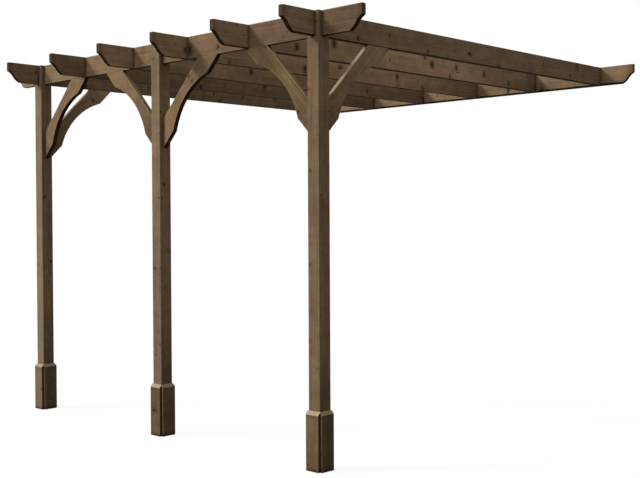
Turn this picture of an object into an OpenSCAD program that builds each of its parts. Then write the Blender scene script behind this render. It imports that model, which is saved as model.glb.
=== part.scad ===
// Lean-to timber pergola: a row of three posts carries a front beam, and rafters run from
// the beam back to a plate that is fixed to a wall. All boards stand on edge and are halved
// into each other, so that beam, plate and rafters are level at top and bottom.
// Frame: +Y into the wall, +X along the wall, +Z up. The origin lies on the wall face of the
// plate, in the middle of its length and of its depth.

/* [Frame] */
// Height from the ground to the top of the beams
head_h = 2280; // [1900:10:2800]
// Distance between the centres of the two end posts
post_span = 2560; // [2200:10:3600]
// Distance from the wall to the centre line of the front beam
reach = 2770; // [1500:10:3600]

/* [Timber] */
// Side of a square post
post_w = 78; // [60:1:100]
// Thickness of the boards: beam, plate, rafters and braces
board_t = 28; // [20:1:36]
// Depth of the beam, the plate and the rafters
board_d = 124; // [100:1:134]
// Clearance on each side of a board in a halving or in a post's slot
lap_clear = 0.3; // [0.1:0.1:1]

/* [Overhangs] */
// From the centre of an end post to the end of the front beam
beam_overhang = 305; // [200:1:400]
// From the centre of an end rafter to the end of the wall plate
plate_overhang = 253; // [150:1:400]
// From the centre line of the front beam to the front end of a rafter
rafter_overhang = 257; // [150:1:400]

/* [Scroll ends] */
// Height of the square nose above the scroll
nose_h = 55; // [40:1:75]
// Length of the scroll along the board
scroll_run = 84; // [60:1:110]
// How far each of the scroll's two arcs bows from a straight line
scroll_bow = 4; // [2:0.5:6]

/* [Braces] */
// Width of a brace
brace_w = 120; // [100:1:150]
// Reach of a brace's upper edge, down the post and along the beam alike
brace_leg = 320; // [220:1:380]
// Straight shoulder at each end of a brace's lower edge
brace_shoulder = 132; // [60:1:170]
// Depth of the round scoop in a brace's lower edge
brace_scoop = 56; // [20:1:80]

/* [Boots] */
// Height of the boards round the foot of a post
boot_h = 300; // [200:5:450]
// Thickness of a boot board
boot_t = 18; // [12:1:28]
// How far a boot board stands out past the post on each side
boot_side = 4; // [1:0.5:8]
// Height of the slope at the top of a boot board
boot_slope_h = 18; // [8:1:30]
// Flat that is left on top of a boot board
boot_lip = 2; // [1:0.5:5]

/* [Hidden] */
$fn = 64;
// Extra length of a cutter past the face that it cuts
past = 1;
// Extra radius of a hollow that runs into a round, so that the two cross
arc_past = 0.02;
// Levels
beam_top = board_d / 2;
beam_under = -board_d / 2;
ground = beam_top - head_h;
// Plan places
beam_y = -reach;
plate_y = -board_t / 2;
post_sides = ["left", "middle", "right"];
post_xs = [-post_span / 2, 0, post_span / 2];
rafter_bays = 5;
rafter_xs = [for (i = [0 : rafter_bays]) -post_span / 2 + i * post_span / rafter_bays];
// Halvings
lap_w = board_t + 2 * lap_clear;
lap_d = board_d / 2;
// Scroll: two equal arcs that meet halfway, the upper one hollow and the lower one round
scroll_drop = board_d - nose_h;
scroll_l = norm([scroll_run, scroll_drop]);
scroll_r = (scroll_l * scroll_l / 16 + scroll_bow * scroll_bow) / (2 * scroll_bow);
scroll_side = (scroll_r - scroll_bow) / scroll_l * [scroll_drop, scroll_run];
// Braces, at 45 degrees
brace_foot = brace_leg + brace_w * sqrt(2);
scoop_chord = brace_foot * sqrt(2) - 2 * brace_shoulder;
scoop_r = (scoop_chord * scoop_chord / 4 + brace_scoop * brace_scoop) / (2 * brace_scoop);
scoop_centre = brace_foot / 2 + (scoop_r - brace_scoop) / sqrt(2);
// Boots
boot_w = post_w + 2 * boot_side;
boot_faces = ["front", "right", "back", "left"];
// Colours of the stained softwood
post_stain = "#6f5c43";
board_stain = "#77634a";
brace_stain = "#6a5740";
boot_stain = "#64523c";

// What a scroll takes off the lower corner of a board that starts at x = 0 and has its top at y = 0
module scroll_cut() {
    half_level = -nose_h - scroll_drop / 2;
    translate([scroll_run / 4, -nose_h - scroll_drop / 4] - scroll_side)
        circle(scroll_r + arc_past);
    difference() {
        translate([-past, -board_d - past])
            square([scroll_run + 2 * past, board_d + past + half_level]);
        translate([scroll_run * 3 / 4, -nose_h - scroll_drop * 3 / 4] + scroll_side) circle(scroll_r);
    }
}

// Side of a board of the given length, its top at y = 0, with a scroll at one end or at both
module board_side(length, both_ends) {
    difference() {
        translate([0, -board_d]) square([length, board_d]);
        scroll_cut();
        if (both_ends) translate([length, 0]) mirror([1, 0]) scroll_cut();
    }
}

// Board along +X from the origin, on edge, centred on y = 0, with its top at the beams' level
module board_along_x(length, both_ends) {
    translate([0, board_t / 2, beam_top]) rotate([90, 0, 0])
        linear_extrude(board_t) board_side(length, both_ends);
}

// Cutter for one halving, centred on the origin: takes the half from z = 0 up
module lap_cut() {
    translate([-lap_w / 2, -lap_w / 2, 0]) cube([lap_w, lap_w, lap_d + past]);
}

// Beam or plate: a board along the wall with a scroll at each end and the rafters let into its top
module cross_board(overhang) {
    length = post_span + 2 * overhang;
    difference() {
        translate([-length / 2, 0, 0]) board_along_x(length, true);
        for (x = rafter_xs) translate([x, 0, 0]) lap_cut();
    }
}

module front_beam() {
    color(board_stain) translate([0, beam_y, 0]) cross_board(beam_overhang);
}

module wall_plate() {
    color(board_stain) translate([0, plate_y, 0]) cross_board(plate_overhang);
}

// Rafter: halved over the beam and over the plate, with its back end level with the wall face
module rafter(x) {
    length = reach + rafter_overhang;
    color(board_stain) translate([x, 0, 0]) difference() {
        translate([0, -length, 0]) rotate(90) board_along_x(length, false);
        for (y = [beam_y, plate_y]) translate([0, y, 0]) mirror([0, 0, 1]) lap_cut();
    }
}

// Cutter for a slot across a post's top: a board's width, a board's depth
module post_slot() {
    slot_l = post_w + 2 * past;
    translate([-slot_l / 2, -lap_w / 2, beam_under]) cube([slot_l, lap_w, board_d + past]);
}

// Post: its top stands round the beam and, at the ends of the row, round a rafter too
module post(x, takes_rafter) {
    color(post_stain) translate([x, beam_y, 0]) difference() {
        translate([-post_w / 2, -post_w / 2, ground]) cube([post_w, post_w, head_h]);
        post_slot();
        if (takes_rafter) rotate(90) post_slot();
    }
}

// Boot board, upright on the ground and against a face at y = 0, its outer top edge sloped off
// and its back edges mitred, so that four of them close round a post and leave open corners
module boot_board() {
    difference() {
        translate([0, 0, ground]) linear_extrude(boot_h)
            polygon([
                [-post_w / 2, 0],
                [-boot_w / 2, -boot_side],
                [-boot_w / 2, -boot_t],
                [boot_w / 2, -boot_t],
                [boot_w / 2, -boot_side],
                [post_w / 2, 0]
            ]);
        translate([-boot_w / 2 - past, 0, ground + boot_h]) rotate([90, 0, 90])
            linear_extrude(boot_w + 2 * past)
                polygon([
                    [-boot_lip, past],
                    [-boot_lip, 0],
                    [-boot_t, -boot_slope_h],
                    [-boot_t - past, -boot_slope_h],
                    [-boot_t - past, past]
                ]);
    }
}

// One of the four boards round a post's foot
module boot(x, face) {
    turn = 90 * search([face], boot_faces)[0];
    color(boot_stain) translate([x, beam_y, 0]) rotate(turn)
        translate([0, -post_w / 2, 0]) boot_board();
}

// Brace in the corner of a post and the board above it, from a post centred on the origin towards +X
module brace() {
    translate([post_w / 2, board_t / 2, beam_under]) rotate([90, 0, 0]) linear_extrude(board_t)
        difference() {
            polygon([[0, -brace_leg], [0, -brace_foot], [brace_foot, 0], [brace_leg, 0]]);
            translate([scoop_centre, -scoop_centre]) circle(scoop_r);
        }
}

module brace_at(x, turn) {
    color(brace_stain) translate([x, beam_y, 0]) rotate(turn) brace();
}

for (i = [0 : len(post_sides) - 1])
    post(post_xs[i], abs(post_xs[i]) > 0);
for (i = [0 : len(post_sides) - 1])
    for (face = boot_faces)
        boot(post_xs[i], face);
front_beam();
wall_plate();
for (i = [0 : rafter_bays])
    rafter(rafter_xs[i]);
brace_at(post_xs[0], 0);  // brace_left_beam
brace_at(post_xs[0], 90);  // brace_left_rafter
brace_at(post_xs[1], 180);  // brace_middle_left
brace_at(post_xs[1], 0);  // brace_middle_right
brace_at(post_xs[2], 180);  // brace_right_beam
brace_at(post_xs[2], 90);  // brace_right_rafter
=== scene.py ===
"""Looks of a lean-to timber pergola: stained softwood posts, boards, arched braces and boots.

Each timber is a copy of its solid with eased arrises. It carries the coordinates of the log that it was
sawn from, so that rings, streaks and knots run through it and come out on its faces and ends.
"""

import math
import random

import bmesh
import bpy
import numpy as np
from mathutils import Matrix, Vector


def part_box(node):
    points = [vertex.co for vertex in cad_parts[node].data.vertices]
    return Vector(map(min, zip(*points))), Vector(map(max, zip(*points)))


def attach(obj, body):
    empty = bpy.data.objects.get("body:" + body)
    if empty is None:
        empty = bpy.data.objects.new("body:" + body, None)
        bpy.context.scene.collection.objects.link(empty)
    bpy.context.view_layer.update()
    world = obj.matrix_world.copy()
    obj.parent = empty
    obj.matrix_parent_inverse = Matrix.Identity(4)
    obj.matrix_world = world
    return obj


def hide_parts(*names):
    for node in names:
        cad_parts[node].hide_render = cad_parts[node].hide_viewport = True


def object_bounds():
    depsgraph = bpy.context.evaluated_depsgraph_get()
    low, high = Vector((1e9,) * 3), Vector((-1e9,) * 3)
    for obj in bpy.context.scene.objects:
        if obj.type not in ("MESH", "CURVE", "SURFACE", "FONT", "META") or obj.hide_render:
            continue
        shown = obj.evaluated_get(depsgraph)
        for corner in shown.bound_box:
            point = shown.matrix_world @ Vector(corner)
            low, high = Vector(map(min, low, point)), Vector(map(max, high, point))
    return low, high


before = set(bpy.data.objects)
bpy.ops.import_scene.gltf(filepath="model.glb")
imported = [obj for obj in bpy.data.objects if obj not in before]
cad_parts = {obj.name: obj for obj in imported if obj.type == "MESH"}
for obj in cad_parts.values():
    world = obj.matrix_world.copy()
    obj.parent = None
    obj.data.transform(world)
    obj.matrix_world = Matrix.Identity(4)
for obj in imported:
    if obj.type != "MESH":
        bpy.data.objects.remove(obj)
cad_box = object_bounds()

MM = 0.001
BODY = "root"
UP = Vector((0, 0, 1))
AXES = (Vector((1, 0, 0)), Vector((0, 1, 0)), UP)

# Photo view: lens, place in metres, and the angles of the line of sight in degrees
SENSOR_MM = 36.0
LENS_MM = 58.87
CAMERA_PLACE = Vector((4.9136, -6.4945, -0.9730))
CAMERA_YAW = -44.2369
CAMERA_PITCH = -1.0100
CAMERA_ROLL = -0.2639

# Light: a veiled sun at the front left, its spread in degrees, and a sky that is brighter in front than
# at the right
SUN_TRAVEL = Vector((0.56, 0.62, -0.54))
SUN_STRENGTH = 1.95
SUN_SPREAD = 11.0
SKY_STRENGTH = 0.60
SKY_BRIGHT_WAY = Vector((-0.30, -0.85, 0.43))
SKY_SLOPE = 0.8
WHITE = "#ffffff"

# Floor: white to the eye, with only a trace of shadow, and dark to the timber's undersides
FLOOR_HALF_SIDE = 60.0
FLOOR_GLOW = 0.91
FLOOR_PALE = "#555555"
FLOOR_DARK = "#303030"

# Timbers: radius of the planed arrises and of other cut edges, and the angles that tell edges apart
ARRIS_MM = {"post": 3.0, "boot": 2.0, "board": 2.0, "brace": 2.5}
CUT_EDGE_MM = 0.8
ARRIS_SEGMENTS = 2
MERGE_MM = 0.01
FLAT_ANGLE = math.radians(0.5)
SHARP_ANGLE = math.radians(30)
CORNER_ANGLE = math.radians(50)
FLAT_FACE_WEIGHT = 100

# Logs: length of the stretch that each timber has to itself, in metres, how far the pith lies from a
# timber's middle across and through it, in which shares of the latter, and its slant
LOG_LENGTH = 3.3
PITH_OFF_MM = {"post": (22, 30), "boot": (25, 55), "board": (35, 75), "brace": (40, 45)}
PITH_SHARES = (0.6, 1.3)
PITH_SLANT = 0.012

# Knots: radius of the smallest, how much their length over the fibres counts, and how few are large
SMALL_KNOT_MM = 0.8
KNOT_OVER_FIBRES = 0.65
KNOT_RARITY = 2.0

# Colours that knots, cuts, wear and weather lay over the stain, and the painted highlights and painted shade
KNOT_HALO = "#4a3421"
KNOT_HEART = "#2a1a0f"
END_GRAIN = "#4b443b"
SOAKED_STAIN = "#46382a"
# Pale arrises: partly rubbed, partly a painted highlight
RUBBED_AND_LIT_ARRIS = "#a08a6a"
# Darker feet of the sides turned away from the sun
DARK_FEET = "#231a12"
# Faces and upper cuts turned to the sun: partly bleached, partly a painted highlight
BLEACHED_AND_LIT_STAIN = "#a8957a"
BLEACHED_AND_LIT_CUT = "#c9b798"
# Painted shade on undersides and in inner corners
UNDER_AND_CORNER_SHADE = "#2a1b0e"
# Painted shade along the lower edge of some boards
UNDER_EDGE_SHADE = "#170d06"

# How far these reach: soaked ends, rubbed and painted-highlit arrises at their palest and in all, and
# painted shade in inner corners
SOAKED_MM = 45.0
RUBBED_AND_LIT_PALEST_MM = 1.0
RUBBED_AND_LIT_MM = 6.0
CORNER_SHADE_MM = 30.0
# Height of the painted shade along the foot of a board, where its shaded underside meets its face
SHADED_EDGE_MM = {"wall_plate": 14, "rafter_6": 5, "rafter_5": 4}
# Where sun and rain come from: the faces that look that way are partly bleached and partly painted lighter,
# as a painted highlight of the sun
WEATHER_AND_SUN_WAY = Vector((-0.25, -0.55, 0.80))
# Darker feet of the posts, on the sides turned away from the sun: heights in metres and share
DARK_FEET_FULL_TOP = 0.34
DARK_FEET_TOP = 0.70
DARK_FEET_SHARE = 0.4
# Depth of the grain that can be felt
RELIEF_MM = 0.8

# How pale a timber is at its lower, left or front end, at two thirds of its length and at its other end,
# partly from its stain and partly painted light and shade, and how much more than others it has been
# bleached and painted lighter in front
TWO_THIRDS = 1 / 3  # on a scale from -1 at the one end to 1 at the other
PLAIN_TONE = (1.0, 1.0, 1.0, 0.0)
STAIN_AND_LIGHT_TONES = {
    "post_left": (0.95, 0.95, 0.95, 0.11),
    "post_middle": (0.82, 1.10, 1.08, 0.05),
    "post_right": (0.96, 0.94, 1.12, 0.00),
    "boot_left_front": (1.10, 1.10, 1.10, 0.08),
    "boot_middle_front": (0.88, 0.88, 0.88, 0.00),
    "boot_middle_right": (1.15, 1.15, 1.15, 0.00),
    "boot_right_right": (0.84, 0.84, 0.84, 0.00),
    "front_beam": (1.55, 1.15, 0.66, 0.00),
    "wall_plate": (1.50, 1.20, 1.08, 0.00),
    "rafter_1": (0.88, 0.92, 0.94, 0.00),
    "rafter_2": (0.84, 0.86, 0.72, 0.00),
    "rafter_3": (1.42, 1.15, 0.80, 0.00),
    "rafter_4": (1.32, 1.75, 0.75, 0.00),
    "rafter_5": (1.30, 2.20, 0.80, 0.00),
    "rafter_6": (1.12, 1.15, 0.88, 0.00),
    "brace_left_beam": (1.15, 1.20, 1.35, 0.05),
    "brace_left_rafter": (1.15, 1.30, 2.10, 0.00),
    "brace_middle_left": (0.60, 1.35, 1.35, 0.00),
    "brace_middle_right": (1.48, 1.12, 1.22, 0.00),
    "brace_right_beam": (0.82, 1.10, 1.48, 0.00),
    "brace_right_rafter": (0.85, 1.50, 1.65, 0.00),
}

# Fixings: heads, how far they stand out, and how far they sit from the ends of their board
SCREW_HEAD_MM = 9.0
SCREW_RISE_MM = 0.6
SCREW_INSET_MM = 55.0
NAIL_HEAD_MM = 4.0
NAIL_RISE_MM = 0.4
NAIL_INSET_MM = 40.0
# Place of the nails between the middle of a boot board and its edges
NAIL_SPREAD = 0.62
# Parts of a head, as shares of its diameter
HEAD_RIM_RADIUS = 0.50
HEAD_TOP_RADIUS = 0.40
RECESS_LENGTH = 0.56
RECESS_WIDTH = 0.14
HEAD_SIDES = 16
SPIN_SEED = 7
RUST_SPOT_MM = 3.0


def linear(colour):
    """Linear RGBA of an sRGB hex colour."""
    channels = [int(colour[i:i + 2], 16) / 255 for i in (1, 3, 5)]
    return [c / 12.92 if c <= 0.04045 else ((c + 0.055) / 1.055) ** 2.4 for c in channels] + [1.0]


def add(tree, kind, feeds=None, out=0, **settings):
    """Adds a node with its settings, feeds each input a value or an output, and returns one output.

    Sockets go by name or, where a node has a name more than once, by number: a Mix node's colours are its
    inputs 6 and 7 and its output 2, and its plain values are inputs 2 and 3 and output 0.
    """
    new = tree.nodes.new(kind)
    for key, value in settings.items():
        setattr(new, key, value)
    for key, value in (feeds or {}).items():
        if isinstance(value, bpy.types.NodeSocket):
            tree.links.new(value, new.inputs[key])
        else:
            new.inputs[key].default_value = value
    return new.outputs[out] if len(new.outputs) else new


def new_material(name):
    """An empty material and its node tree."""
    material = bpy.data.materials.new(name)
    material.use_nodes = True
    material.node_tree.nodes.clear()
    return material, material.node_tree


# Stained softwood

def knot_distance(tree, grain, spacing_mm, largest_mm):
    """How far a point lies from the nearest branch, in radii of that branch.

    Branches run out from the pith, and the saw cuts them aslant, so that they are longer over the fibres.
    """
    spacing = spacing_mm * MM
    over_fibres = (0, 1, 1)
    outward = add(tree, "ShaderNodeVectorMath", {0: grain, 1: over_fibres}, operation="MULTIPLY")
    reach = add(tree, "ShaderNodeVectorMath", {0: outward}, out="Value", operation="LENGTH")
    way = add(tree, "ShaderNodeVectorMath", {0: outward}, operation="NORMALIZE")
    along = add(tree, "ShaderNodeVectorMath", {0: grain, 1: (1 / spacing, 0, 0)}, operation="MULTIPLY")
    place = add(tree, "ShaderNodeVectorMath", {0: way, 1: along}, operation="ADD")
    branch = add(tree, "ShaderNodeTexVoronoi", {"Vector": place, "Scale": 1.0, "Randomness": 1.0},
                 out="Position")
    branch_way = add(tree, "ShaderNodeVectorMath", {0: branch, 1: over_fibres}, operation="MULTIPLY")
    branch_way = add(tree, "ShaderNodeVectorMath", {0: branch_way}, operation="NORMALIZE")
    branch_along = add(tree, "ShaderNodeVectorMath", {0: branch, 1: (spacing, 0, 0)}, operation="MULTIPLY")
    core = add(tree, "ShaderNodeVectorMath", {0: branch_way, "Scale": reach}, operation="SCALE")
    core = add(tree, "ShaderNodeVectorMath", {0: core, 1: branch_along}, operation="ADD")
    apart = add(tree, "ShaderNodeVectorMath", {0: grain, 1: core}, operation="SUBTRACT")
    aslant = (1, KNOT_OVER_FIBRES, KNOT_OVER_FIBRES)
    apart = add(tree, "ShaderNodeVectorMath", {0: apart, 1: aslant}, operation="MULTIPLY")
    distance = add(tree, "ShaderNodeVectorMath", {0: apart}, out="Value", operation="LENGTH")
    chance = add(tree, "ShaderNodeSeparateColor", {0: branch.node.outputs["Color"]})
    rare = add(tree, "ShaderNodeMath", {0: chance, 1: KNOT_RARITY}, operation="POWER")
    radius = add(tree, "ShaderNodeMapRange",
                 {"Value": rare, "From Min": 0.15, "To Min": SMALL_KNOT_MM * MM, "To Max": largest_mm * MM})
    return add(tree, "ShaderNodeMath", {0: distance, 1: radius}, operation="DIVIDE")


def long_noise(tree, grain, length_mm, width_mm, detail=2.0, roughness=0.55):
    """Noise in strands of about that length along the fibres and that width over them."""
    stretch = [1000 / length_mm, 1000 / width_mm, 1000 / width_mm]
    place = add(tree, "ShaderNodeVectorMath", {0: grain, 1: stretch}, operation="MULTIPLY")
    feeds = {"Vector": place, "Scale": 1.0, "Detail": detail, "Roughness": roughness}
    return add(tree, "ShaderNodeTexNoise", feeds)


def growth_rings(tree, grain, ring_mm, swirl):
    """Saw-tooth of the year rings round the pith: slow from pale early to dark late wood, then a step."""
    along_share = 0.08
    drawn_out = add(tree, "ShaderNodeVectorMath", {0: grain, 1: (along_share, 1, 1)}, operation="MULTIPLY")
    wave_period = math.pi / 10
    feeds = {
        "Vector": drawn_out,
        "Scale": wave_period / (ring_mm * MM),
        "Distortion": 7.0,
        "Detail": 2.0,
        "Detail Scale": 0.35,
        "Detail Roughness": 0.5,
        "Phase Offset": swirl,
    }
    return add(tree, "ShaderNodeTexWave", feeds, out="Fac",
               wave_type="RINGS", rings_direction="X", wave_profile="SAW")


def tone_along(tree, given):
    """How pale a point is, by stain and by painted light and shade, from the levels at one end, at two
    thirds and at the other end.
    """
    from_middle = add(tree, "ShaderNodeSeparateXYZ", {0: given["rim"]})
    half_length = add(tree, "ShaderNodeSeparateXYZ", {0: given["half"]})
    place = add(tree, "ShaderNodeMath", {0: from_middle, 1: half_length}, operation="DIVIDE")
    level = add(tree, "ShaderNodeSeparateXYZ", {0: given["levels"]}).node.outputs
    start = add(tree, "ShaderNodeMapRange", {
        "Value": place, "From Min": -1.0, "From Max": TWO_THIRDS, "To Min": level["X"], "To Max": level["Y"],
    })
    return add(tree, "ShaderNodeMapRange", {
        "Value": place, "From Min": TWO_THIRDS, "From Max": 1.0, "To Min": start, "To Max": level["Z"],
    })


def stain(tree, given, late, streak, fine, palette):
    """The stain itself: darker on late wood, in ruddy patches, olive bands, streaks and blotches, at levels
    that carry painted light and shade as well.
    """
    pale, deep, ruddy, olive = palette
    patch = long_noise(tree, given["grain"], length_mm=700, width_mm=110)
    band = long_noise(tree, given["grain"], length_mm=600, width_mm=26)
    blotch = long_noise(tree, given["grain"], length_mm=85, width_mm=110, detail=4.0, roughness=0.68)
    late_share = add(tree, "ShaderNodeMapRange", {"Value": late, "To Max": 0.36})
    ruddy_share = add(tree, "ShaderNodeMapRange",
                      {"Value": patch, "From Min": 0.40, "From Max": 0.66, "To Max": 0.75})
    olive_share = add(tree, "ShaderNodeMapRange",
                      {"Value": band, "From Min": 0.50, "From Max": 0.68, "To Max": 0.6})
    colour = linear(pale)
    for share, tint in ((late_share, deep), (ruddy_share, ruddy), (olive_share, olive)):
        colour = add(tree, "ShaderNodeMix", {0: share, 6: colour, 7: linear(tint)}, out=2, data_type="RGBA")
    level = tone_along(tree, given)
    for noise, low, high, darkest, palest in (
        (streak, 0.30, 0.70, 0.82, 1.13),
        (fine, 0.30, 0.70, 0.88, 1.10),
        (blotch, 0.32, 0.68, 0.80, 1.16),
    ):
        change = add(tree, "ShaderNodeMapRange", {
            "Value": noise, "From Min": low, "From Max": high, "To Min": darkest, "To Max": palest,
        })
        level = add(tree, "ShaderNodeMath", {0: level, 1: change}, operation="MULTIPLY")
    return add(tree, "ShaderNodeVectorMath", {0: colour, "Scale": level}, operation="SCALE")


def knot_coats(tree, halo, knot):
    """Dark hearts of knots in a softer halo, as pairs of a share and a colour."""
    halo_share = add(tree, "ShaderNodeMath", {0: halo, 1: 0.5}, operation="MULTIPLY")
    knot_share = add(tree, "ShaderNodeMath", {0: knot, 1: 0.8}, operation="MULTIPLY")
    return [(halo_share, KNOT_HALO), (knot_share, KNOT_HEART)]


def edge_coats(tree, given, end_facing):
    """Ends drink more stain, and so does the last stretch beside them. Arrises are pale: partly rubbed,
    partly a painted highlight.
    """
    end = add(tree, "ShaderNodeMapRange",
              {"Value": end_facing, "From Min": 0.55, "From Max": 0.95, "To Max": 0.85})
    from_middle = add(tree, "ShaderNodeVectorMath", {0: given["rim"]}, operation="ABSOLUTE")
    to_rim = add(tree, "ShaderNodeVectorMath", {0: given["half"], 1: from_middle}, operation="SUBTRACT")
    apart = add(tree, "ShaderNodeSeparateXYZ", {0: to_rim}).node.outputs
    soaked = add(tree, "ShaderNodeMapRange",
                 {"Value": apart["X"], "From Min": SOAKED_MM * MM, "From Max": 0.0, "To Max": 0.45},
                 interpolation_type="SMOOTHSTEP")
    to_arris = add(tree, "ShaderNodeMath", {0: apart["Y"], 1: apart["Z"]}, operation="ADD")
    # Arrises: partly rubbed pale, partly a painted highlight
    rubbed_and_lit = add(tree, "ShaderNodeMapRange", {
        "Value": to_arris, "From Min": RUBBED_AND_LIT_MM * MM, "From Max": RUBBED_AND_LIT_PALEST_MM * MM, "To Max": 0.35,
    })
    return [(end, END_GRAIN), (soaked, SOAKED_STAIN), (rubbed_and_lit, RUBBED_AND_LIT_ARRIS)]


def weather_and_light_coats(tree, given, normal, upward, end_facing, streak):
    """Darker feet on the sides turned away from the sun, and faces and upper cuts turned to the sun, partly
    bleached and partly painted lighter as a painted highlight.
    """
    exposed = add(tree, "ShaderNodeVectorMath", {0: normal, 1: WEATHER_AND_SUN_WAY}, out="Value",
                  operation="DOT_PRODUCT")
    # Darker towards the feet on the sides turned away from the sun
    shady = add(tree, "ShaderNodeMapRange",
                {"Value": exposed, "From Min": 0.4, "From Max": 0.0, "To Max": DARK_FEET_SHARE})
    dark_feet = add(tree, "ShaderNodeMapRange",
               {"Value": given["height"], "From Min": DARK_FEET_TOP, "From Max": DARK_FEET_FULL_TOP})
    dark_feet = add(tree, "ShaderNodeMath", {0: dark_feet, 1: shady}, operation="MULTIPLY")
    upper_cut = add(tree, "ShaderNodeMath", {0: end_facing, 1: upward}, operation="MULTIPLY")
    exposed = add(tree, "ShaderNodeMath", {0: upper_cut, 1: 0.7, 2: exposed}, operation="MULTIPLY_ADD")
    exposed = add(tree, "ShaderNodeMath", {0: exposed, 1: given["bleach_and_light"]}, operation="ADD")
    # Faces turned to the sun are partly bleached and partly given a painted highlight
    sun_facing = add(tree, "ShaderNodeMapRange", {"Value": exposed, "From Min": 0.58, "From Max": 0.78})
    worn = add(tree, "ShaderNodeMapRange",
               {"Value": streak, "From Min": 0.30, "From Max": 0.60, "To Min": 0.6, "To Max": 1.0})
    bleached_and_lit = add(tree, "ShaderNodeMath", {0: sun_facing, 1: worn}, operation="MULTIPLY")
    # Upper cuts turned to the sun: partly bleached, partly a painted highlight
    sunlit_cut = add(tree, "ShaderNodeMapRange",
                     {"Value": upper_cut, "From Min": 0.1, "From Max": 0.4, "To Max": 0.2})
    return [(dark_feet, DARK_FEET), (bleached_and_lit, BLEACHED_AND_LIT_STAIN), (sunlit_cut, BLEACHED_AND_LIT_CUT)]


def painted_shade_coats(tree, given, upward, corner_shade):
    """Painted shade on undersides, in inner corners and along the lower edges of some boards."""
    # Faces turned down get painted shade
    underside_shade = add(tree, "ShaderNodeMapRange",
                {"Value": upward, "From Min": -0.10, "From Max": -0.35, "To Max": 0.9})
    # Ambient occlusion paints shade into inner corners
    open_share = add(tree, "ShaderNodeAmbientOcclusion", {"Distance": CORNER_SHADE_MM * MM}, out="AO", samples=8)
    corner_shade_share = add(tree, "ShaderNodeMapRange",
                    {"Value": open_share, "From Min": 0.85, "From Max": 0.45, "To Max": corner_shade})
    painted_shade = add(tree, "ShaderNodeMath", {0: underside_shade, 1: corner_shade_share}, operation="MAXIMUM")
    # Painted shade along the lower edge of some boards
    edge_shade_share = add(tree, "ShaderNodeMapRange",
              {"Value": given["edge_shade"], "From Min": 1.0, "From Max": 0.7, "To Max": 0.95})
    return [(painted_shade, UNDER_AND_CORNER_SHADE), (edge_shade_share, UNDER_EDGE_SHADE)]


def stained_softwood(name, palette, ring_mm, branch_mm, knot_mm, corner_shade):
    """Planed pine or spruce under a brown water-borne stain.

    To the eye: matt, olive to ruddy brown, with soft dark streaks along the fibres, faint year rings, dark
    knots with the rings bent round them, ends that have drunk more stain, faces turned to the sun partly
    bleached and partly painted lighter, arrises partly rubbed and partly given a painted highlight, darker
    feet on the sides turned away from the sun, and painted shade on undersides, in inner corners and along
    some lower edges. Rings and streaks are about three times as coarse as real ones, so that they show.
    The palette is the pale and the deep stain, and its ruddy and its olive kind.
    """
    material, tree = new_material(name)
    given = {}
    for key in ("grain", "rim", "half", "fibre", "levels"):
        given[key] = add(tree, "ShaderNodeAttribute", out="Vector", attribute_name=key)
    for key in ("bleach_and_light", "height", "edge_shade"):
        given[key] = add(tree, "ShaderNodeAttribute", out="Fac", attribute_name=key)
    normal = add(tree, "ShaderNodeNewGeometry", out="Normal")
    upward = add(tree, "ShaderNodeSeparateXYZ", {0: normal}, out="Z")
    end_facing = add(tree, "ShaderNodeVectorMath", {0: normal, 1: given["fibre"]}, out="Value",
                     operation="DOT_PRODUCT")
    end_facing = add(tree, "ShaderNodeMath", {0: end_facing}, operation="ABSOLUTE")

    # Knots, and the swirl of the fibres round them
    branches = knot_distance(tree, given["grain"], branch_mm, knot_mm)
    knot = add(tree, "ShaderNodeMapRange", {"Value": branches, "From Min": 1.5, "From Max": 0.3})
    halo = add(tree, "ShaderNodeMapRange", {"Value": branches, "From Min": 3.4, "From Max": 0.8},
               interpolation_type="SMOOTHSTEP")
    swirl = add(tree, "ShaderNodeMath", {0: halo, 1: 5.0}, operation="MULTIPLY")
    rings = growth_rings(tree, given["grain"], ring_mm, swirl)
    late = add(tree, "ShaderNodeMath", {0: rings, 1: 1.6}, operation="POWER")

    # The stain, what knots, cuts, wear and weather lay over it, and painted highlights and painted shade
    streak = long_noise(tree, given["grain"], length_mm=420, width_mm=11, detail=3.0)
    fine = long_noise(tree, given["grain"], length_mm=90, width_mm=2.5)
    colour = stain(tree, given, late, streak, fine, palette)
    coats = knot_coats(tree, halo, knot)
    coats += edge_coats(tree, given, end_facing)
    coats += weather_and_light_coats(tree, given, normal, upward, end_facing, streak)
    coats += painted_shade_coats(tree, given, upward, corner_shade)
    for share, tint in coats:
        colour = add(tree, "ShaderNodeMix", {0: share, 6: colour, 7: linear(tint)}, out=2, data_type="RGBA")

    # The feel: late wood stands up a little, and knots are worn
    rough = add(tree, "ShaderNodeMapRange",
                {"Value": streak, "From Min": 0.3, "From Max": 0.7, "To Min": 0.74, "To Max": 0.88})
    relief = add(tree, "ShaderNodeMath", {0: late, 1: fine}, operation="ADD")
    relief = add(tree, "ShaderNodeMath", {0: relief, 1: knot}, operation="SUBTRACT")
    bump = add(tree, "ShaderNodeBump", {"Strength": 0.35, "Distance": RELIEF_MM * MM, "Height": relief})
    shader = add(tree, "ShaderNodeBsdfPrincipled", {
        "Base Color": colour,
        "Roughness": rough,
        "Specular IOR Level": 0.04,
        "Normal": bump,
    })
    add(tree, "ShaderNodeOutputMaterial", {"Surface": shader})
    return material


# Timbers

def post_of(name):
    """Centre of the post that a brace or a boot board belongs to."""
    low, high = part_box("post_" + name.split("_")[1])
    return (low + high) / 2


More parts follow.
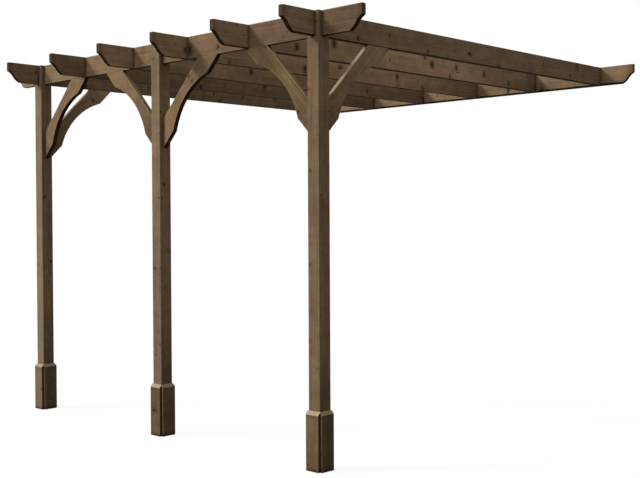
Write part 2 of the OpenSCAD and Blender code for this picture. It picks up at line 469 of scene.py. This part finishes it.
def fibre_axes(name):
    """Unit vectors along the fibres, across the wide face and through the thickness of a timber."""
    low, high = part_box(name)
    size = high - low
    order = sorted(range(3), key=lambda axis: -size[axis])
    if not name.startswith("brace"):
        return [AXES[axis] for axis in order]
    run = AXES[order[1] if AXES[order[0]] is UP else order[0]]
    through = AXES[order[2]]
    side = math.copysign(1, ((low + high) / 2 - post_of(name)).dot(run))
    along = (run * side + UP).normalized()
    return [along, through.cross(along), through]


def log_offset(sort, draw):
    """Where the pith runs, across and through a timber, and how it slants along it."""
    reach = PITH_OFF_MM[sort]
    across = draw.uniform(-reach[0], reach[0]) * MM
    through = draw.choice((-1, 1)) * draw.uniform(*PITH_SHARES) * reach[1] * MM
    slant = draw.uniform(-PITH_SLANT, PITH_SLANT)
    return across, through, slant


def give_fibres(mesh, name, sort, tone):
    """Writes the attributes that the stained softwood reads."""
    draw = random.Random(name)
    axes = np.array(fibre_axes(name))
    points = np.zeros(len(mesh.vertices) * 3, np.float32)
    mesh.vertices.foreach_get("co", points)
    points = points.reshape(-1, 3)
    local = points @ axes.T
    low, high = local.min(0), local.max(0)
    half = (high - low) / 2
    rim = local - (low + high) / 2
    count = len(rim)
    across, through, slant = log_offset(sort, draw)
    log_number = sorted(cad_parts).index(name)
    grain = rim + (log_number * LOG_LENGTH, across, through)
    grain[:, 1] += slant * rim[:, 0]
    # Height of the painted shade along the foot of the board
    shaded_edge = SHADED_EDGE_MM.get(name, 0) * MM
    for key, values in (
        ("grain", grain),
        ("rim", rim),
        ("half", np.tile(half, (count, 1))),
        ("fibre", np.tile(axes[0], (count, 1))),
        ("levels", np.tile(tone[:3], (count, 1))),
        ("bleach_and_light", np.full(count, tone[3])),
        ("height", points[:, 2] - cad_box[0].z),
        ("edge_shade", (rim[:, 1] + half[1]) / shaded_edge if shaded_edge else np.ones(count)),
    ):
        kind, field = ("FLOAT_VECTOR", "vector") if values.ndim == 2 else ("FLOAT", "value")
        attribute = mesh.attributes.new(key, kind, "POINT")
        attribute.data.foreach_set(field, values.astype(np.float32).ravel())


def weigh_edges(bm, name, arris_mm):
    """Bevel weights: the planed arrises in full, other outer edges as a cut edge, inner corners none."""
    axes = fibre_axes(name)
    weights = bm.edges.layers.float.new("bevel_weight_edge")
    local = [[vert.co.dot(axis) for axis in axes] for vert in bm.verts]
    low, high = np.min(local, 0), np.max(local, 0)

    def on_rim(vert, axis):
        place = vert.co.dot(axes[axis])
        return min(place - low[axis], high[axis] - place) < MERGE_MM * MM

    for edge in bm.edges:
        if not edge.is_convex or edge.calc_face_angle(0) < SHARP_ANGLE:
            continue
        is_arris = all(on_rim(vert, axis) for vert in edge.verts for axis in (1, 2))
        edge[weights] = 1.0 if is_arris else CUT_EDGE_MM / arris_mm


def as_plain_mesh(obj):
    """Replaces an object's mesh and modifiers by the mesh that they make."""
    evaluated = obj.evaluated_get(bpy.context.evaluated_depsgraph_get())
    made = bpy.data.meshes.new_from_object(evaluated)
    obj.modifiers.clear()
    obj.data = made
    return made


def eased_timber(name, sort, material, tone):
    """A timber that stands for its solid: the same shape, with eased edges and fibres."""
    bm = bmesh.new()
    bm.from_mesh(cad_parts[name].data)
    bmesh.ops.remove_doubles(bm, verts=bm.verts, dist=MERGE_MM * MM)
    bmesh.ops.dissolve_limit(bm, angle_limit=FLAT_ANGLE, verts=bm.verts, edges=bm.edges)
    weigh_edges(bm, name, ARRIS_MM[sort])
    mesh = bpy.data.meshes.new(name + "_planed")
    bm.to_mesh(mesh)
    bm.free()
    mesh.shade_smooth()
    timber = bpy.data.objects.new(name + "_timber", mesh)
    bpy.context.scene.collection.objects.link(timber)
    bevel = timber.modifiers.new("eased_edges", "BEVEL")
    bevel.limit_method = "WEIGHT"
    bevel.width = ARRIS_MM[sort] * MM
    bevel.segments = ARRIS_SEGMENTS
    bevel.use_clamp_overlap = False
    as_plain_mesh(timber).set_sharp_from_angle(angle=CORNER_ANGLE)
    flat = timber.modifiers.new("flat_faces", "WEIGHTED_NORMAL")
    flat.weight = FLAT_FACE_WEIGHT
    flat.keep_sharp = True
    finished = as_plain_mesh(timber)
    give_fibres(finished, name, sort, tone)
    finished.materials.append(material)
    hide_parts(name)
    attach(timber, BODY)


def sort_of(name):
    """Which sort of timber a node is."""
    first = name.split("_")[0]
    return first if first in ARRIS_MM else "board"


def timbers():
    """Every post, boot board, board and brace."""
    finishes = {
        "post": ("post_timber", stained_softwood(
            "stained_pine_post", ("#866f57", "#67523b", "#7b614b", "#7b6a48"),
            ring_mm=10, branch_mm=420, knot_mm=8, corner_shade=0.6)),
        "boot": ("boot_timber", stained_softwood(
            "stained_pine_boot", ("#7b674d", "#5c4832", "#6f543e", "#72603f"),
            ring_mm=8, branch_mm=300, knot_mm=8, corner_shade=1.0)),
        "board": ("board_timber", stained_softwood(
            "stained_spruce_board", ("#846d54", "#66523c", "#7a5f4c", "#796744"),
            ring_mm=9, branch_mm=300, knot_mm=15, corner_shade=0.6)),
        "brace": ("brace_timber", stained_softwood(
            "stained_spruce_brace", ("#846d51", "#65503a", "#785d49", "#786643"),
            ring_mm=9, branch_mm=340, knot_mm=9, corner_shade=0.6)),
    }
    for name in sorted(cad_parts):
        sort = sort_of(name)
        slot, material = finishes[sort]
        eased_timber(name, sort, material, STAIN_AND_LIGHT_TONES.get(name, PLAIN_TONE))


# Fixings

def browned_steel():
    """Zinc-plated steel under a brown coat, worn by the driver: dull metal with rusty patches."""
    material, tree = new_material("browned_steel")
    brown, rust = linear("#4a3d31"), linear("#5b3a25")
    place = add(tree, "ShaderNodeTexCoord", out="Object")
    spots = add(tree, "ShaderNodeTexNoise", {"Vector": place, "Scale": 1000 / RUST_SPOT_MM, "Detail": 3.0})
    share = add(tree, "ShaderNodeMapRange", {"Value": spots, "From Min": 0.4, "From Max": 0.65})
    colour = add(tree, "ShaderNodeMix", {0: share, 6: brown, 7: rust}, out=2, data_type="RGBA")
    rough = add(tree, "ShaderNodeMapRange", {"Value": spots, "To Min": 0.45, "To Max": 0.75})
    shader = add(tree, "ShaderNodeBsdfPrincipled",
                 {"Base Color": colour, "Roughness": rough, "Metallic": 0.6})
    add(tree, "ShaderNodeOutputMaterial", {"Surface": shader})
    return material


def fixing_tree(name, with_recess):
    """Geometry nodes that set a head on every point, turned to the point's own facing."""
    tree = bpy.data.node_groups.new(name, "GeometryNodeTree")
    tree.interface.new_socket("Points", in_out="INPUT", socket_type="NodeSocketGeometry")
    tree.interface.new_socket("Head Diameter", in_out="INPUT", socket_type="NodeSocketFloat")
    tree.interface.new_socket("Head Rise", in_out="INPUT", socket_type="NodeSocketFloat")
    tree.interface.new_socket("Finish", in_out="INPUT", socket_type="NodeSocketMaterial")
    tree.interface.new_socket("Heads", in_out="OUTPUT", socket_type="NodeSocketGeometry")
    given = add(tree, "NodeGroupInput").node.outputs
    diameter, rise = given["Head Diameter"], given["Head Rise"]

    # A flat cone, half of it in the wood
    wide = add(tree, "ShaderNodeMath", {0: diameter, 1: HEAD_RIM_RADIUS}, operation="MULTIPLY")
    narrow = add(tree, "ShaderNodeMath", {0: diameter, 1: HEAD_TOP_RADIUS}, operation="MULTIPLY")
    depth = add(tree, "ShaderNodeMath", {0: rise, 1: 2.0}, operation="MULTIPLY")
    sunk = add(tree, "ShaderNodeMath", {0: rise, 1: -1.0}, operation="MULTIPLY")
    head = add(tree, "GeometryNodeMeshCone", {
        "Vertices": HEAD_SIDES, "Radius Top": narrow, "Radius Bottom": wide, "Depth": depth,
    }, fill_type="NGON")
    down = add(tree, "ShaderNodeCombineXYZ", {2: sunk})
    head = add(tree, "GeometryNodeTransform", {"Geometry": head, "Translation": down})

    # A cross recess for the driver
    if with_recess:
        arm = add(tree, "ShaderNodeMath", {0: diameter, 1: RECESS_LENGTH}, operation="MULTIPLY")
        slit = add(tree, "ShaderNodeMath", {0: diameter, 1: RECESS_WIDTH}, operation="MULTIPLY")
        up = add(tree, "ShaderNodeCombineXYZ", {2: rise})
        for size in ({0: arm, 1: slit, 2: depth}, {0: slit, 1: arm, 2: depth}):
            bar = add(tree, "GeometryNodeMeshCube", {"Size": add(tree, "ShaderNodeCombineXYZ", size)})
            bar = add(tree, "GeometryNodeTransform", {"Geometry": bar, "Translation": up})
            head = add(tree, "GeometryNodeMeshBoolean", {"Mesh 1": head, "Mesh 2": bar},
                       operation="DIFFERENCE", solver="EXACT")

    # One head on each point, spun at random
    facing = add(tree, "GeometryNodeInputNamedAttribute", {"Name": "facing"}, data_type="FLOAT_VECTOR")
    turn = add(tree, "FunctionNodeAlignRotationToVector", {"Vector": facing}, axis="Z")
    angle = add(tree, "FunctionNodeRandomValue", {2: 0.0, 3: math.tau, "Seed": SPIN_SEED}, out=1,
                data_type="FLOAT")
    spin = add(tree, "FunctionNodeAxisAngleToRotation", {"Axis": (0, 0, 1), "Angle": angle})
    turn = add(tree, "FunctionNodeRotateRotation", {0: turn, 1: spin}, rotation_space="LOCAL")
    heads = add(tree, "GeometryNodeInstanceOnPoints",
                {"Points": given["Points"], "Instance": head, "Rotation": turn})
    heads = add(tree, "GeometryNodeRealizeInstances", {"Geometry": heads})
    heads = add(tree, "GeometryNodeSetMaterial", {"Geometry": heads, "Material": given["Finish"]})
    add(tree, "NodeGroupOutput", {0: heads})
    return tree


def fixings(name, spots, tree, diameter_mm, rise_mm, finish):
    """One mesh of all heads of a kind; spots are pairs of a place and the way that its head faces."""
    places, ways = zip(*spots)
    mesh = bpy.data.meshes.new(name + "_spots")
    mesh.from_pydata(places, [], [])
    facing = mesh.attributes.new("facing", "FLOAT_VECTOR", "POINT")
    facing.data.foreach_set("vector", np.array(ways, np.float32).ravel())
    obj = bpy.data.objects.new(name, mesh)
    bpy.context.scene.collection.objects.link(obj)
    modifier = obj.modifiers.new(name, "NODES")
    modifier.node_group = tree
    inputs = {"Head Diameter": diameter_mm * MM, "Head Rise": rise_mm * MM, "Finish": finish}
    for item in tree.interface.items_tree:
        if item.in_out == "INPUT" and item.name in inputs:
            modifier[item.identifier] = inputs[item.name]
    as_plain_mesh(obj)
    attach(obj, BODY)


def screw_spots():
    """Screws down through the halvings of the roof, and through the shoulders of the braces."""
    spots = []
    for name in sorted(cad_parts):
        low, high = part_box(name)
        middle = (low + high) / 2
        if name.startswith("rafter"):
            for board in ("front_beam", "wall_plate"):
                board_low, board_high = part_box(board)
                spots.append((Vector((middle.x, (board_low.y + board_high.y) / 2, high.z)), UP))
        if name.startswith("brace"):
            along = fibre_axes(name)[0]
            run = (along - UP * along.dot(UP)).normalized()
            out = (run - UP).normalized()
            foot = high.z - low.z
            corner = Vector((middle.x, middle.y, high.z)) - run * foot / 2
            inset = along * SCREW_INSET_MM * MM
            spots.append((corner - UP * foot + inset, out))
            spots.append((corner + run * foot - inset, out))
    return spots


def nail_spots():
    """Two nails at the top and two at the foot of every boot board."""
    spots = []
    for name in sorted(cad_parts):
        if not name.startswith("boot"):
            continue
        low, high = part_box(name)
        middle = (low + high) / 2
        out = middle - post_of(name)
        out.z = 0
        out.normalize()
        side = UP.cross(out)
        half_width = abs((high - low).dot(side)) / 2
        face = middle + out * abs((high - low).dot(out)) / 2
        for level in (low.z + NAIL_INSET_MM * MM, high.z - NAIL_INSET_MM * MM):
            for way in (-NAIL_SPREAD, NAIL_SPREAD):
                place = face + side * way * half_width
                spots.append((Vector((place.x, place.y, level)), out))
    return spots


# Stage

def photo_camera():
    """Camera at the photo's viewing angle."""
    yaw, pitch, roll = (math.radians(angle) for angle in (CAMERA_YAW, CAMERA_PITCH, CAMERA_ROLL))
    ahead = Vector((math.sin(yaw) * math.cos(pitch), math.cos(yaw) * math.cos(pitch), math.sin(pitch)))
    level_right = ahead.cross(UP).normalized()
    level_up = level_right.cross(ahead)
    right = level_right * math.cos(roll) + level_up * math.sin(roll)
    up = level_up * math.cos(roll) - level_right * math.sin(roll)
    data = bpy.data.cameras.new("photo_camera")
    data.sensor_width = SENSOR_MM
    data.lens = LENS_MM
    camera = bpy.data.objects.new("photo_camera", data)
    bpy.context.scene.collection.objects.link(camera)
    turn = Matrix((right, up, -ahead)).transposed().to_4x4()
    camera.matrix_world = Matrix.Translation(CAMERA_PLACE) @ turn
    bpy.context.scene.camera = camera


def seen_directly(tree):
    """1 where a ray comes from the camera, a reflection or through glass, 0 for light on the timber."""
    path = add(tree, "ShaderNodeLightPath").node.outputs
    seen = path["Is Camera Ray"]
    for kind in ("Is Glossy Ray", "Is Transmission Ray"):
        seen = add(tree, "ShaderNodeMath", {0: seen, 1: path[kind]}, operation="MAXIMUM")
    return seen


def daylight():
    """A soft sun, and a sky that looks white and lights the front more than the right."""
    sun = bpy.data.lights.new("sun", "SUN")
    sun.energy = SUN_STRENGTH
    sun.angle = math.radians(SUN_SPREAD)
    lamp = bpy.data.objects.new("sun", sun)
    bpy.context.scene.collection.objects.link(lamp)
    lamp.rotation_euler = SUN_TRAVEL.to_track_quat("-Z", "Y").to_euler()
    world = bpy.data.worlds.new("sky")
    world.use_nodes = True
    tree = world.node_tree
    tree.nodes.clear()
    way = add(tree, "ShaderNodeTexCoord", out="Generated")
    slope = add(tree, "ShaderNodeVectorMath", {0: way, 1: SKY_BRIGHT_WAY}, out="Value",
                operation="DOT_PRODUCT")
    light = add(tree, "ShaderNodeMapRange", {
        "Value": slope, "From Min": -1.0,
        "To Min": SKY_STRENGTH * (1 - SKY_SLOPE), "To Max": SKY_STRENGTH * (1 + SKY_SLOPE),
    })
    strength = add(tree, "ShaderNodeMix", {0: seen_directly(tree), 2: light, 3: 1.0})
    sky = add(tree, "ShaderNodeBackground", {"Color": linear(WHITE), "Strength": strength})
    add(tree, "ShaderNodeOutputWorld", {"Surface": sky})
    bpy.context.scene.world = world


def floor():
    """Pale paper floor at the feet of the posts, with a trace of shadow."""
    material, tree = new_material("pale_paper_floor")
    seen = seen_directly(tree)
    dark, pale = linear(FLOOR_DARK), linear(FLOOR_PALE)
    colour = add(tree, "ShaderNodeMix", {0: seen, 6: dark, 7: pale}, out=2, data_type="RGBA")
    paper = add(tree, "ShaderNodeBsdfDiffuse", {"Color": colour})
    glow = add(tree, "ShaderNodeMath", {0: seen, 1: FLOOR_GLOW}, operation="MULTIPLY")
    light = add(tree, "ShaderNodeEmission", {"Color": linear(WHITE), "Strength": glow})
    both = add(tree, "ShaderNodeAddShader", {0: paper, 1: light})
    add(tree, "ShaderNodeOutputMaterial", {"Surface": both})
    half = FLOOR_HALF_SIDE
    level = cad_box[0].z
    corners = [(-half, -half, level), (half, -half, level), (half, half, level), (-half, half, level)]
    mesh = bpy.data.meshes.new("floor")
    mesh.from_pydata(corners, [], [(0, 1, 2, 3)])
    mesh.materials.append(material)
    obj = bpy.data.objects.new("floor", mesh)
    bpy.context.scene.collection.objects.link(obj)


photo_camera()
daylight()
floor()
timbers()
steel = browned_steel()
screw = fixing_tree("screw_heads", with_recess=True)
nail = fixing_tree("nail_heads", with_recess=False)
fixings("roof_and_brace_screws", screw_spots(), screw, SCREW_HEAD_MM, SCREW_RISE_MM, steel)
fixings("boot_nails", nail_spots(), nail, NAIL_HEAD_MM, NAIL_RISE_MM, steel)
bpy.context.scene.view_settings.view_transform = "Standard"
